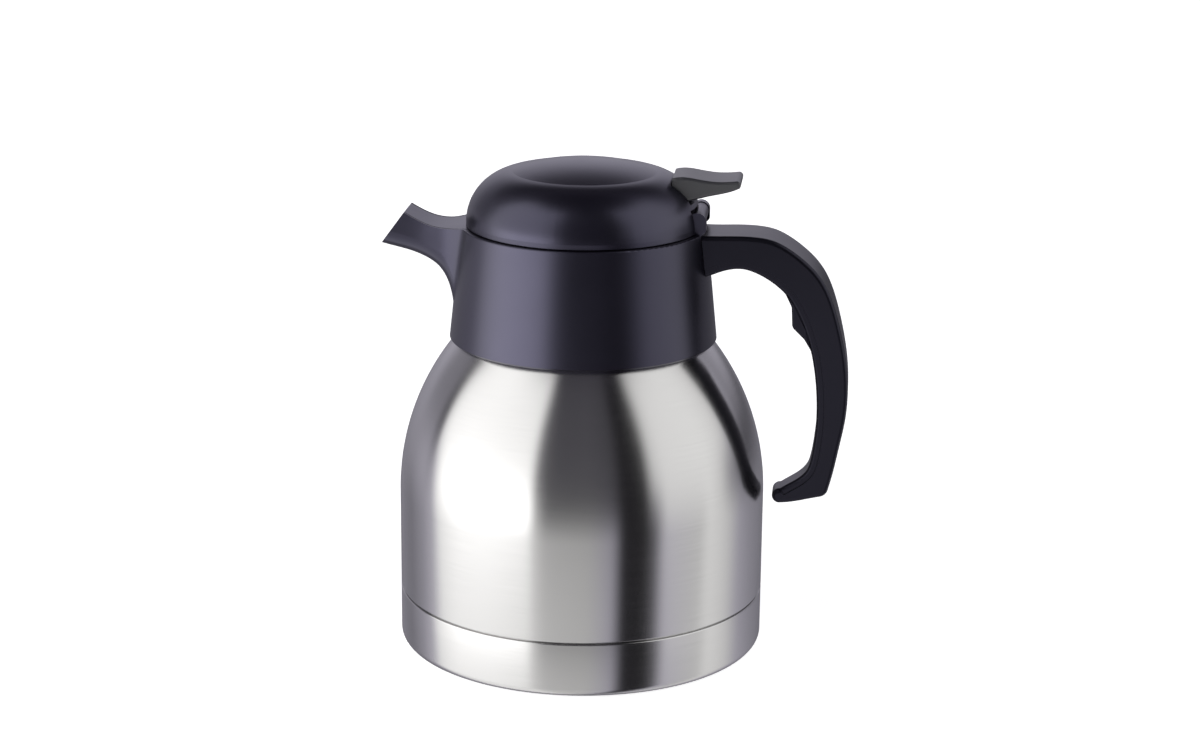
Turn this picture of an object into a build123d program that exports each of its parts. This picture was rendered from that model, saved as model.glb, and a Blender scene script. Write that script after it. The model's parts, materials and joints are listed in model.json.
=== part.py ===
from build123d import *
from math import acos, cos, hypot, radians, sin, sqrt
import os

# A 1.2 litre vacuum carafe with a hinged lid, a thumb lever and a pour valve.
# Millimetres, +Z up. The origin is the centre of the rest face on the table,
# the handle points to +X and the spout to -X, and the XZ plane is a mirror plane.

# Free gaps and fits
running_gap = 0.35
pin_play = 0.09
seat_gap = 0.1

# Far sides of cuts that run out of the carafe
beyond = 110.0
beyond_z = 200.0
# Half width of tools that are wider than the spout, the handle and the lever
wide_cut = 30.0

# Steel bottle
steel = 0.8
body_radius = 70.0
shoulder_start_z = 59.5
seam_z = 21.9
step_depth = 1.0
step_radius = body_radius - step_depth
step_low_z = 10.0
neck_bore_radius = 34.0
shell_neck_radius = 37.5
neck_flare = 4.5
rim_z = 148.0
rim_thickness = 1.4
rim_radius = 38.6
neck_weld_z = 131.0
vacuum_gap = 4.2
flask_inset = steel + vacuum_gap
flask_split_z = 30.0
flask_bottom_z = 9.0
flask_corner = 14.0
jacket_bottom_z = 4.4
jacket_corner = 8.0
dimple_radius = 6.0

# Base cup and pad
cup_low_z = 0.3
cup_corner = 3.2
cup_seam_gap = 0.6
pad_setback = 9.5
pad_radius = body_radius - pad_setback
pad_thickness = 1.1

# Collar
collar_low_z = 119.5
collar_low_radius = 50.8
collar_top_z = 163.0
collar_top_radius = 46.2
collar_wall = 2.6
collar_round = 0.6
collar_foot_edge = 0.7
lip_radius = 42.4
lip_low_z = 158.5
deck_top_z = 151.4
deck_thickness = 2.0
deck_hole_radius = 34.2
sleeve_radius = 42.0
sleeve_wall = 1.6
sleeve_low_z = 138.5
neck_ring_low_z = 133.8
neck_ring_slit = 3.0
neck_ring_groove = 1.0
neck_ring_groove_height = 0.8

# Shoulder: an arc that leaves the side upright and passes just inside the collar's lower edge
shoulder_drop = body_radius - (collar_low_radius - collar_wall)
shoulder_rise = collar_low_z - shoulder_start_z
shoulder_radius = (shoulder_drop**2 + shoulder_rise**2) / (2 * shoulder_drop)
shoulder_centre_r = body_radius - shoulder_radius

# Spout: distance from the axis, half width outside and bottom height at each station
spout_stations = [
    (41.0, 17.2, 100.0),
    (45.0, 14.6, 118.0),
    (48.0, 12.6, 131.0),
    (50.6, 11.2, 141.2),
    (54.5, 10.3, 146.4),
    (60.0, 9.5, 149.7),
    (67.0, 9.1, 152.0),
    (79.0, 9.0, 155.0),
]
spout_keel_radius = 6.5
spout_wall = 1.5
spout_rim = 0.7
spout_head_z = 176.0
spout_root_radius = 7.0
spout_root_x = 42.0
mouth_top = (67.2, 167.3)
mouth_tip = (76.6, 154.4)
channel_inner_x = 36.0
channel_low_x = 44.0
# Tongue of the lid that covers the spout, and its rebate in the spout's rim
rebate_x = 40.5
rebate_low_z = 150.0
cover_thickness = 1.8
cover_gap = 0.6
cover_root_x = 40.0
cover_root_y = 9.5
cover_root_low_z = 161.0
cover_root_high_z = 163.2
cover_root_radius = 43.8
# Top line of the spout, from the lid to the mouth
spout_top_line = [(44.0, 162.95), (48.0, 162.2), (53.0, 162.0), (58.0, 162.9), (63.0, 165.0)]

# Lid hinge
hinge_x = 43.3
hinge_z = 168.0
ear_radius = 3.3
ear_inner_y = 8.6
ear_outer_y = 12.6
ear_foot_x = (41.2, 44.2)
ear_foot_z = 162.0
ear_bend_z = 164.6
hinge_pin_end_wall = 1.2
hinge_pin_radius = 1.5
knuckle_radius = 3.0
recess_x = 39.6
recess_y = 13.0
recess_top_z = 172.1

# Lid
dome_radius = 44.4
dome_wall = 2.2
dome_low_z = 163.35
dome_corner_radius = 17.3
dome_corner_z = 165.1
dome_top_z = 187.4
crown_radius = 96.6
plate_low_z = 161.6
plate_thickness = 2.0
skirt_radius = 41.2
skirt_wall = 2.4
skirt_low_z = 158.6
lid_seal_radius = 41.9
lid_seal_low_z = 159.5
lid_seal_height = 1.5
plate_rim = 2.0
plate_rim_height = 1.0
lid_seal_depth = 1.0
screen_x = 38.0
hump_radius = 15.0
hump_low_z = 164.1
guide_radius = 4.6
guide_top_z = 167.0
post_radius = 3.4
post_circle = 30.0
screw_head_radius = 2.8
screw_head_height = 1.6
screw_radius = 1.5
lid_screw_reach = 5.5
spring_seat_depth = 6.0

# Stopper and valve
flange_radius = 38.5
flange_low_z = 152.9
flange_thickness = 1.5
stopper_cup_radius = 32.0
stopper_low_radius = 29.5
stopper_low_z = 141.0
stopper_wall = 1.6
port_radius = 9.5
port_wall = 1.6
pillar_circle = 26.0
pillar_radius = 3.0
stopper_seal_inner = 34.9
stem_radius = 1.9
valve_disc_radius = 12.0
valve_disc_thickness = 1.4
valve_seal_thickness = 1.2
head_low_z = 171.1
head_thickness = 2.0
head_radius = 5.0
spring_wire = 0.8
spring_radius = 3.4
spring_turns = 4.5

# Thumb lever
lever_pivot_x = 36.0
lever_pivot_z = 176.6
lever_pin_radius = 1.25
lever_half_width = 10.0
lever_edge = 1.0
notch_x = 33.1
notch_floor_z = 173.7
cheek = 2.2
cheek_low_z = 172.6
pin_seat = 1.6
fork_z = 169.2
fork_radius = 1.6
fork_inner_y = 2.4
fork_outer_y = 4.6
fork_slot_x = 8.6
# Side view of the lever: the hollow top, the round tip, the underside and the heel in the notch
lever_top = [(33.6, 183.5), (38.5, 184.0), (44.2, 183.2), (50.2, 182.6), (54.0, 182.7), (57.0, 183.0)]
lever_tip = (58.9, 182.0)
lever_under = [(58.4, 180.3), (55.0, 178.9), (49.8, 177.6), (44.6, 176.3)]
lever_heel = [(41.0, 175.4), (37.6, 174.3), (34.6, 174.3), (33.6, 175.4)]
lever_arm_low = [(9.0, 167.8), (30.0, 172.2), (34.6, 174.6), (36.4, 174.8)]
lever_arm_high = [(36.4, 178.4), (31.0, 176.8), (22.0, 173.4), (12.0, 170.3), (9.0, 170.1)]
fork_tines = [(0.0, 168.1), (9.5, 168.0), (9.5, 170.1), (0.0, 170.1)]

# Handle: points run from the root over the top and down to the foot
handle_outer = [
    (44.0, 162.4),
    (56.0, 162.5),
    (66.0, 162.3),
    (72.0, 161.1),
    (77.6, 158.3),
    (83.0, 154.4),
    (88.0, 149.6),
    (91.6, 144.4),
    (94.4, 138.0),
    (97.6, 127.0),
    (100.2, 113.8),
    (101.0, 101.0),
    (100.2, 90.5),
    (98.4, 80.5),
    (96.6, 71.0),
    (94.8, 63.6),
]
handle_inner = [
    (44.0, 145.6),
    (49.0, 147.4),
    (54.5, 149.4),
    (60.5, 150.0),
    (66.6, 148.1),
    (72.3, 144.7),
    (77.2, 140.2),
    (81.2, 134.0),
    (84.4, 126.4),
    (86.9, 117.8),
    (88.6, 108.0),
    (89.4, 98.0),
    (89.3, 88.0),
    (88.4, 79.0),
    (87.6, 74.4),
    (86.5, 71.2),
    (84.4, 68.6),
    (80.4, 65.7),
    (76.6, 63.2),
]
foot_bottom = [(91.4, 60.4), (86.5, 59.2), (80.0, 57.8), (76.0, 57.4)]
foot_tip = (73.5, 60.0)
finger_stop = [(76.6, 141.0), (79.0, 136.0), (79.4, 128.2), (84.0, 123.6), (86.8, 118.9)]
finger_stop_back = [(85.0, 128.0), (80.0, 138.0)]
finger_stop_round = 3.0
finger_stop_edge = 0.8
handle_widths = [(170.0, 11.35), (147.0, 11.35), (130.0, 10.6), (102.0, 8.6), (76.0, 6.6), (52.0, 5.4)]
handle_wall = 2.6
# The hollow of the handle ends above the foot
hollow_floor = [(90.0, 64.4), (86.0, 63.4)]
hollow_low_z = 68.5
handle_edge = 1.6
grip_cover = 2.8
grip_cover_setback = 0.4
cover_edge = 1.2
handle_screw_y = 6.0
handle_screw_z = 155.2
handle_screw_tip_x = 41.6
boss_radius = 2.7
boss_x = (39.9, 44.8)
root_wall_x = 50.6


def face_xz(*edges):
    """Face in the XZ plane closed by the given edges."""
    return Plane.XZ * make_face(Curve() + list(edges))


def polygon_xz(points):
    """Face in the XZ plane with straight sides."""
    return Plane.XZ * make_face(Polyline(*points, close=True))


def turned(points):
    """Solid of revolution about Z of a straight sided outline of (radius, z) points."""
    return revolve(polygon_xz(points), Axis.Z)


def ring(inner, outer, low, high):
    """Round ring with a rectangular section."""
    return turned([(inner, low), (outer, low), (outer, high), (inner, high)])


def disc(radius, low, high):
    """Upright cylinder on the axis of the carafe."""
    return turned([(0, low), (radius, low), (radius, high), (0, high)])


def slab(x0, x1, y0, y1, z0, z1):
    """Box between two corners."""
    corner = Pos((x0 + x1) / 2, (y0 + y1) / 2, (z0 + z1) / 2)
    return corner * Box(x1 - x0, y1 - y0, z1 - z0)


def wide(face, half_width):
    """Extrude a face of the XZ plane to both sides."""
    return extrude(face, half_width, both=True)


def bar_y(x, z, radius, y0, y1):
    """Cylinder that runs along Y."""
    return Pos(x, (y0 + y1) / 2, z) * Rot(90, 0, 0) * Cylinder(radius, y1 - y0)


def bar_x(y, z, radius, x0, x1):
    """Cylinder that runs along X."""
    return Pos((x0 + x1) / 2, y, z) * Rot(0, 90, 0) * Cylinder(radius, x1 - x0)


def post(x, y, radius, low, high):
    """Cylinder that runs along Z."""
    return Pos(x, y, (low + high) / 2) * Cylinder(radius, high - low)


def bottle(inset, low_z, neck_radius, top_z):
    """Filled bottle outline, moved inward by inset, with a neck of its own radius."""
    side = body_radius - inset
    arc = shoulder_radius - inset
    flare_r = neck_radius + neck_flare
    end = acos((flare_r - shoulder_centre_r) / arc)

    def on_arc(angle):
        return (shoulder_centre_r + arc * cos(angle), shoulder_start_z + arc * sin(angle))

    shoulder = ThreePointArc(on_arc(0), on_arc(end / 2), on_arc(end))
    flare_z = on_arc(end)[1]
    blend_z = flare_z + 1.6 * neck_flare
    blend = ThreePointArc(
        on_arc(end),
        (neck_radius + 0.29 * neck_flare, flare_z + 0.66 * neck_flare),
        (neck_radius, blend_z),
    )
    neck = Polyline((neck_radius, blend_z), (neck_radius, top_z), (0, top_z), (0, low_z))
    side_line = Polyline((0, low_z), (side, low_z), on_arc(0))
    return revolve(face_xz(shoulder, blend, neck, side_line), Axis.Z)


def dish(radius, low_z, high_z, corner):
    """Filled cup with a rounded bottom edge."""
    bend = ThreePointArc(
        (radius - corner, low_z),
        (radius - corner * (1 - sin(radians(45))), low_z + corner * (1 - cos(radians(45)))),
        (radius, low_z + corner),
    )
    rim = Polyline((radius, low_z + corner), (radius, high_z), (0, high_z))
    floor = Polyline((0, high_z), (0, low_z), (radius - corner, low_z))
    return revolve(face_xz(bend, rim, floor), Axis.Z)


def dome(inset, low_z):
    """Filled lid dome, moved inward by inset."""
    side = dome_radius - inset
    bend = dome_corner_radius - inset
    bend_r = dome_radius - dome_corner_radius
    crown = crown_radius - inset
    crown_z = dome_top_z - crown_radius
    meet_r = dome_meeting_radius(bend, bend_r, crown, crown_z)
    meet_z = crown_z + sqrt(crown**2 - meet_r**2)
    turn = acos((meet_r - bend_r) / bend) / 2
    wall = Polyline((0, low_z), (side, low_z), (side, dome_corner_z))
    corner = ThreePointArc(
        (side, dome_corner_z),
        (bend_r + bend * cos(turn), dome_corner_z + bend * sin(turn)),
        (meet_r, meet_z),
    )
    top = ThreePointArc(
        (meet_r, meet_z),
        (meet_r / 2, crown_z + sqrt(crown**2 - (meet_r / 2) ** 2)),
        (0, crown_z + crown),
    )
    axis = Line((0, crown_z + crown), (0, low_z))
    return revolve(face_xz(wall, corner, top, axis), Axis.Z)


def dome_meeting_radius(bend, bend_r, crown, crown_z):
    """Radius at which the crown arc crosses the corner arc of the dome."""
    low = bend_r
    high = bend_r + bend
    for _ in range(60):
        middle = (low + high) / 2
        corner_height = dome_corner_z + sqrt(max(bend**2 - (middle - bend_r) ** 2, 0))
        crown_height = crown_z + sqrt(crown**2 - middle**2)
        if corner_height > crown_height:
            low = middle
        else:
            high = middle
    return (low + high) / 2


def base_pad():
    """Soft disc that the carafe stands on."""
    return disc(pad_radius, 0, pad_thickness)


def base_cup():
    """Steel cup that closes the bottom, with a recess for the pad."""
    outside = dish(body_radius, cup_low_z, seam_z - cup_seam_gap, cup_corner)
    inside = dish(step_radius + seat_gap, pad_thickness + 2 * steel, seam_z, cup_corner)
    recess = disc(pad_radius + seat_gap, 0, pad_thickness)
    return outside - inside - recess


def outer_shell():
    """Visible steel bottle, stepped in where it enters the base cup."""
    neck_top_z = rim_z - rim_thickness
    outside = bottle(0, seam_z, shell_neck_radius, neck_top_z) + disc(step_radius, step_low_z, seam_z)
    inside = bottle(steel, seam_z + steel, shell_neck_radius - steel, neck_top_z)
    skirt = disc(step_radius - steel, step_low_z, seam_z + steel)
    return outside - inside - skirt


def shell_bottom():
    """Dished plate that closes the vacuum jacket, with its sealing dimple."""
    radius = step_radius - steel
    top_z = step_low_z + jacket_corner
    outside = dish(radius, jacket_bottom_z, top_z, jacket_corner)
    inside = dish(radius - steel, jacket_bottom_z + steel, top_z, jacket_corner - steel)
    dimple = disc(dimple_radius, jacket_bottom_z - steel, jacket_bottom_z)
    return outside - inside + dimple


def inner_flask():
    """Steel liner that holds the drink, side and shoulder."""
    outside = bottle(flask_inset, flask_split_z, neck_bore_radius + steel, neck_weld_z)
    inside = bottle(flask_inset + steel, flask_split_z, neck_bore_radius, neck_weld_z)
    return outside - inside


def inner_neck():
    """Neck of the liner with the rim that rests on the outer shell."""
    neck = ring(neck_bore_radius, neck_bore_radius + steel, neck_weld_z, rim_z)
    return neck + ring(neck_bore_radius, rim_radius, rim_z - rim_thickness, rim_z)


def inner_flask_bottom():
    """Round bottom of the liner."""
    radius = body_radius - flask_inset
    outside = dish(radius, flask_bottom_z, flask_split_z, flask_corner)
    inside = dish(radius - steel, flask_bottom_z + steel, flask_split_z, flask_corner - steel)
    return outside - inside


def neck_ring():
    """Split ring under the steel rim that the collar snaps over."""
    inner = shell_neck_radius + seat_gap
    outer = sleeve_radius - seat_gap
    top_z = rim_z - rim_thickness
    body = ring(inner, outer, neck_ring_low_z, top_z)
    for count in (1, 2):
        low = neck_ring_low_z + 2 * count * neck_ring_groove_height
        body -= ring(outer - neck_ring_groove, outer + 1, low, low + neck_ring_groove_height)
    half = neck_ring_slit / 2
    return body - slab(inner - 1, outer + 1, -half, half, neck_ring_low_z - 1, top_z + 1)


def neck_gasket():
    """Soft ring between the steel rim and the collar."""
    return ring(deck_hole_radius + 0.5, rim_radius - 0.4, rim_z, deck_top_z - deck_thickness)


def spout_form(shift, inset, lift):
    """Filled spout; shift moves it inward, inset narrows it, lift raises its bottom."""
    side = [(-(reach - shift), half - inset) for reach, half, _ in spout_stations]
    other = [(x, -y) for x, y in reversed(side)]
    plan = Curve() + [
        Spline(*side),
        Line(side[-1], other[0]),
        Spline(*other),
        Line(other[-1], side[0]),
    ]
    bottom = [(-(reach - shift), low + lift) for reach, _, low in spout_stations]
    head = [(bottom[-1][0], spout_head_z), (bottom[0][0], spout_head_z)]
    profile = face_xz(Spline(*bottom), Polyline(bottom[-1], *head, bottom[0]))
    column = extrude(make_face(plan), beyond_z)
    body = column & wide(profile, wide_cut)
    run = spout_stations[-1][0] - spout_stations[0][0]
    keel = [
        edge
        for edge in body.edges()
        if (edge @ 0.5).Z < collar_top_z - 5 and abs((edge @ 0).X - (edge @ 1).X) > run / 2
    ]
    return fillet(keel, spout_keel_radius - inset)


def above_spout(drop):
    """Everything above the top line of the spout, lowered by drop."""
    line = [(-x, z - drop) for x, z in spout_top_line]
    mouth = (-mouth_top[0], mouth_top[1] - drop)
    slope_x = mouth_top[0] - spout_top_line[-1][0]
    slope_z = mouth_top[1] - spout_top_line[-1][1]
    past = (mouth[0] - 4 * slope_x, mouth[1] + 4 * slope_z)
    curve = Spline(*line, mouth)
    back = [(0, beyond_z), (0, collar_top_z - drop), (line[0][0], collar_top_z - drop)]
    sides = Polyline(mouth, past, (past[0], beyond_z), *back, line[0])
    return wide(face_xz(curve, sides), wide_cut)


def beyond_mouth():
    """Everything in front of the slanted mouth of the spout."""
    top_x, top_z = mouth_top
    tip_x, tip_z = mouth_tip
    run = (tip_x - top_x) / (top_z - tip_z)
    high = (-(top_x - run * wide_cut), top_z + wide_cut)
    low = (-(tip_x + run * wide_cut), tip_z - wide_cut)
    return wide(polygon_xz([high, low, (-beyond, low[1]), (-beyond, high[1])]), wide_cut)


def collar_radius(z):
    """Outside radius of the collar at a height."""
    share = (z - collar_low_z) / (collar_top_z - collar_low_z)
    return collar_low_radius + share * (collar_top_radius - collar_low_radius)


def collar_cone(extra, top_z):
    """Filled cone of the collar, grown by extra, up to a height."""
    edge_z = collar_low_z + collar_foot_edge
    return turned(
        [
            (0, collar_low_z),
            (collar_radius(edge_z) + extra - collar_foot_edge, collar_low_z),
            (collar_radius(edge_z) + extra, edge_z),
            (collar_radius(top_z) + extra, top_z),
            (0, top_z),
        ]
    )


def collar_inside():
    """Space inside the collar, below and above its deck."""
    deck_low_z = deck_top_z - deck_thickness

    def wall_radius(z):
        return collar_radius(z) - collar_wall

    return turned(
        [
            (0, collar_low_z - 1),
            (wall_radius(collar_low_z) + 0.4, collar_low_z - 1),
            (wall_radius(collar_low_z) + 0.2, collar_low_z + 1),
            (wall_radius(deck_low_z), deck_low_z),
            (deck_hole_radius, deck_low_z),
            (deck_hole_radius, deck_top_z),
            (wall_radius(deck_top_z), deck_top_z),
            (wall_radius(lip_low_z - 1.4), lip_low_z - 1.4),
            (lip_radius, lip_low_z),
            (lip_radius, collar_top_z + 1),
            (0, collar_top_z + 1),
        ]
    )


def on_collar(edge):
    """Whether an edge of the spout runs up the collar's outside."""
    spots = [edge @ share for share in (0, 0.25, 0.5, 0.75, 1)]
    climb = max(spot.Z for spot in spots) - min(spot.Z for spot in spots)
    gap = max(abs(hypot(spot.X, spot.Y) - collar_radius(spot.Z)) for spot in spots)
    above_foot = min(spot.Z for spot in spots) > collar_low_z + 1
    return spots[0].X < 0 and above_foot and climb > 1 and gap < 0.15


def collar_with_spout():
    """Filled collar and spout, run into each other with a hollow curve."""
    spout = spout_form(0, 0, 0) & slab(-beyond, 0, -wide_cut, wide_cut, collar_low_z + 2, beyond_z)
    body = collar_cone(0, spout_head_z - 5) + spout
    body = fillet([edge for edge in body.edges() if on_collar(edge)], spout_root_radius)
    body = body - beyond_mouth() - above_spout(0)
    behind_x = -spout_top_line[0][0]
    body -= slab(behind_x, beyond, -beyond, beyond, collar_top_z, beyond_z)
    return body - outside_top_edge()


def outside_top_edge():
    """What the rounded top edge of the collar takes off, up to the sides of the spout."""
    low_z = collar_top_z - collar_round
    low_radius = collar_radius(low_z)
    high_radius = collar_top_radius - collar_round
    share = 1 - sin(radians(45))
    middle = (low_radius - share * collar_round, collar_top_z - share * collar_round)
    bend = ThreePointArc((low_radius, low_z), middle, (high_radius, collar_top_z))
    sides = Polyline(
        (high_radius, collar_top_z),
        (high_radius, collar_top_z + 1),
        (low_radius + 1, collar_top_z + 1),
        (low_radius + 1, low_z),
        (low_radius, low_z),
    )
    ring_cut = revolve(face_xz(bend, sides), Axis.Z)
    return ring_cut & slab(-spout_root_x, beyond, -beyond, beyond, low_z - 1, collar_top_z + 2)


def hinge_ear(y0, y1):
    """One lug of the collar that carries an end of the hinge pin."""
    outline = polygon_xz(
        [
            (hinge_x - ear_radius, hinge_z),
            (ear_foot_x[0], ear_foot_z),
            (ear_foot_x[1], ear_foot_z),
            (hinge_x + ear_radius, ear_bend_z),
            (hinge_x + ear_radius, hinge_z),
        ]
    )
    lug = Pos(0, (y0 + y1) / 2, 0) * wide(outline, (y1 - y0) / 2)
    return lug + bar_y(hinge_x, hinge_z, ear_radius, y0, y1)


def cover_form(inset):
    """Upper part of the spout that holds the tongue of the lid, narrowed by inset."""
    return spout_form(0, inset, 0) & slab(-beyond, -rebate_x, -wide_cut, wide_cut, rebate_low_z, beyond_z)


def collar():
    """Moulded top ring with the spout, the hinge ears and the seat of the handle."""
    body = collar_with_spout() - collar_inside()
    deck_low_z = deck_top_z - deck_thickness
    channel = spout_form(spout_wall, spout_wall, spout_wall)
    body -= channel & slab(-beyond, -channel_inner_x, -wide_cut, wide_cut, deck_top_z, beyond_z)
    body -= channel & slab(-beyond, -channel_low_x, -wide_cut, wide_cut, 0, deck_low_z)
    body -= cover_form(spout_rim) & above_spout(cover_thickness + running_gap)
    body += ring(sleeve_radius, sleeve_radius + sleeve_wall, sleeve_low_z, deck_low_z)
    body += hinge_ear(-ear_outer_y, -ear_inner_y) + hinge_ear(ear_inner_y, ear_outer_y)
    body -= bar_y(hinge_x, hinge_z, hinge_pin_radius, -ear_outer_y + hinge_pin_end_wall, ear_outer_y + 1)
    for side in (-1, 1):
        body += bar_x(side * handle_screw_y, handle_screw_z, boss_radius, *boss_x)
        body -= bar_x(side * handle_screw_y, handle_screw_z, screw_radius, handle_screw_tip_x - 0.2, beyond)
    return body


def hinge_pin():
    """Steel pin of the lid hinge, held in both ears."""
    return bar_y(hinge_x, hinge_z, hinge_pin_radius, -ear_outer_y + hinge_pin_end_wall, ear_outer_y)


def round_sides(body, radius, from_x):
    """Rounds the edges of a body made by wide() that reach past from_x."""
    long_edges = []
    for edge in body.edges():
        ends = [edge @ 0, edge @ 0.5, edge @ 1]
        reach = max(point.X for point in ends)
        side = min(abs(point.Y) for point in ends)
        if reach > from_x and side > radius:
            long_edges.append(edge)
    return fillet(long_edges, radius)


def moved_points(points, distance):
    """Points of an open line, each moved square to the line by distance."""
    moved = []
    last = len(points) - 1
    for index, (x, z) in enumerate(points):
        before = points[max(index - 1, 0)]
        after = points[min(index + 1, last)]
        run_x = after[0] - before[0]
        run_z = after[1] - before[1]
        length = hypot(run_x, run_z)
        moved.append((x - distance * run_z / length, z + distance * run_x / length))
    return moved


def handle_side():
    """Side view of the whole handle without the finger stop."""
    outer = Spline(*handle_outer)
    heel = ThreePointArc(handle_outer[-1], (93.9, 61.7), foot_bottom[0])
    sole = Spline(*foot_bottom)
    toe = ThreePointArc(foot_bottom[-1], foot_tip, handle_inner[-1])
    inner = Spline(*reversed(handle_inner))
    root = Line(handle_inner[0], handle_outer[0])
    return face_xz(outer, heel, sole, toe, inner, root)


def handle_width(inset):
    """Front view of the handle: full width at the root, narrow at the foot."""
    right = [(half - inset, z) for z, half in handle_widths]
    left = [(-y, z) for y, z in reversed(right)]
    outline = Curve() + [
        Spline(*right),
        Line(right[-1], left[0]),
        Spline(*left),
        Line(left[-1], right[0]),
    ]
    return extrude(Plane.YZ * make_face(outline), 2 * beyond)


def cover_zone(thickness):
    """Zone along the inner side of the grip, down to the toe of the foot."""
    line = moved_points(handle_inner, thickness)
    # Wide past the inner side, so that only its outer border cuts the handle
    clear = moved_points(handle_inner, -cover_edge)
    border = Spline(*line)
    free = Spline(*reversed(clear))
    return wide(face_xz(border, Line(line[-1], clear[-1]), free, Line(clear[0], line[0])), wide_cut)


def handle_hollow():
    """Room inside the handle between its three outer walls."""
    outer = moved_points(handle_outer, -handle_wall)
    outer = [(root_wall_x, outer[0][1])] + outer[1:]
    inner = moved_points(handle_inner, grip_cover - 0.5)
    inner = [point for point in inner if point[0] > root_wall_x + 2 and point[1] > hollow_low_z]
    outline = Curve() + [
        Spline(*outer[:-1]),
        Polyline(outer[-2], *hollow_floor, inner[-1]),
        Spline(*reversed(inner)),
        Polyline(inner[0], (root_wall_x, inner[0][1]), outer[0]),
    ]
    return wide(Plane.XZ * make_face(outline), wide_cut) & handle_width(handle_wall)


def handle_shell():
    """Outer half of the handle, a channel open to the inner side."""
    body = round_sides(wide(handle_side(), wide_cut) & handle_width(0), handle_edge, root_wall_x)
    body -= collar_cone(seat_gap, collar_top_z)
    body -= cover_zone(grip_cover)
    body -= handle_hollow()
    for side in (-1, 1):
        body -= bar_x(side * handle_screw_y, handle_screw_z, screw_radius, 40, root_wall_x + 1)
    return body


def handle_cover():
    """Inner half of the handle with the finger stop."""
    grip = wide(handle_side(), wide_cut) & handle_width(grip_cover_setback)
    strip = round_sides(grip, cover_edge, root_wall_x) & cover_zone(grip_cover - seat_gap)
    return strip + finger_nose() - collar_cone(seat_gap, collar_top_z)


def finger_nose():
    """Nose of the finger stop, rounded across and along its sides."""
    block = wide(polygon_xz(finger_stop + finger_stop_back), wide_cut)
    corners = []
    for x, z in finger_stop[1:-1]:
        for edge in block.edges():
            middle = edge @ 0.5
            if hypot(middle.X - x, middle.Z - z) < 0.1:
                corners.append(edge)
    nose = fillet(corners, finger_stop_round) & handle_width(grip_cover_setback)
    return round_sides(nose, finger_stop_edge, root_wall_x)


def screw_x(y, z, head_x, tip_x):
    """Pan head screw along X with its head at the far end."""
    head = bar_x(y, z, screw_head_radius, head_x, head_x + screw_head_height)
    slot = slab(head_x + 0.8, head_x + 3, y - 2, y + 2, z - 0.4, z + 0.4)
    cross = slab(head_x + 0.8, head_x + 3, y - 0.4, y + 0.4, z - 2, z + 2)
    return head - slot - cross + bar_x(y, z, screw_radius, tip_x, head_x)


def handle_screws():
    """Two screws from inside the handle into the collar."""
    left = screw_x(-handle_screw_y, handle_screw_z, root_wall_x, handle_screw_tip_x)
    right = screw_x(handle_screw_y, handle_screw_z, root_wall_x, handle_screw_tip_x)
    return Compound(children=[left, right])


def post_spots():
    """Places of the three posts and screws of the lid."""
    return [(post_circle * cos(radians(a)), post_circle * sin(radians(a))) for a in (55, 180, 305)]


def lid_dome():
    """Cap of the lid with the notch of the lever and the recess of the hinge."""
    body = dome(0, dome_low_z) - dome(dome_wall, dome_low_z)
    inner = dome(dome_wall, plate_low_z)
    for x, y in post_spots():
        body += post(x, y, post_radius, plate_top_z(), dome_top_z) & inner
    body += post(0, 0, spring_radius - spring_wire, dome_top_z - spring_seat_depth, dome_top_z) & inner
    notch_y = lever_half_width + running_gap
    cheek_block = slab(notch_x - 1, dome_radius, notch_y, notch_y + cheek, cheek_low_z, dome_top_z)
    body += cheek_block & inner
    body += mirror(cheek_block, Plane.XZ) & inner
    body -= slab(notch_x, beyond, -notch_y, notch_y, notch_floor_z, beyond_z)
    body -= slab(recess_x, beyond, -recess_y, recess_y, 0, recess_top_z)
    body -= bar_y(lever_pivot_x, lever_pivot_z, lever_pin_radius, -notch_y - pin_seat, notch_y + pin_seat)
    for x, y in post_spots():
        body -= post(x, y, screw_radius, plate_low_z, plate_top_z() + lid_screw_reach + 0.5)
    return body


def plate_top_z():
    """Upper face of the lid plate."""
    return plate_low_z + plate_thickness


def lid_base():
    """Lid plate with its skirt, the spout cover, the hinge knuckle and the stem guide."""
    top_z = plate_top_z()
    rim = dome_radius - dome_wall - seat_gap
    body = disc(rim, dome_low_z, top_z) + ring(rim - plate_rim, rim, top_z, top_z + plate_rim_height)
    body += disc(skirt_radius, plate_low_z, top_z)
    body += ring(skirt_radius - skirt_wall, skirt_radius, skirt_low_z, plate_low_z)
    body += disc(hump_radius, plate_low_z, hump_low_z + plate_thickness)
    body -= disc(hump_radius - plate_thickness, plate_low_z - 1, hump_low_z)
    body += disc(guide_radius, hump_low_z, guide_top_z)
    body += spout_cover()
    body += hinge_screen()
    knuckle_y = ear_inner_y - running_gap
    body -= slab(recess_x, beyond, -recess_y, recess_y, 0, beyond_z)
    body += slab(screen_x, hinge_x, -knuckle_y, knuckle_y, dome_low_z, hinge_z + 1.6)
    body += bar_y(hinge_x, hinge_z, knuckle_radius, -knuckle_y, knuckle_y)
    body -= bar_y(hinge_x, hinge_z, hinge_pin_radius + pin_play, -recess_y, recess_y)
    body -= post(0, 0, stem_radius + pin_play, 0, beyond_z)
    seal_top_z = lid_seal_low_z + lid_seal_height
    body -= ring(skirt_radius - lid_seal_depth, skirt_radius + 1, lid_seal_low_z, seal_top_z)
    for x, y in post_spots():
        body -= post(x, y, screw_radius, 0, beyond_z)
    return body


def hinge_screen():
    """Wall of the lid plate that shuts the dome off behind the hinge."""
    side = recess_y + 0.2
    screen = slab(screen_x, recess_x - 0.3, -side, side, plate_low_z, recess_top_z + 0.3)
    return screen & dome(dome_wall + seat_gap, plate_low_z)


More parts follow.
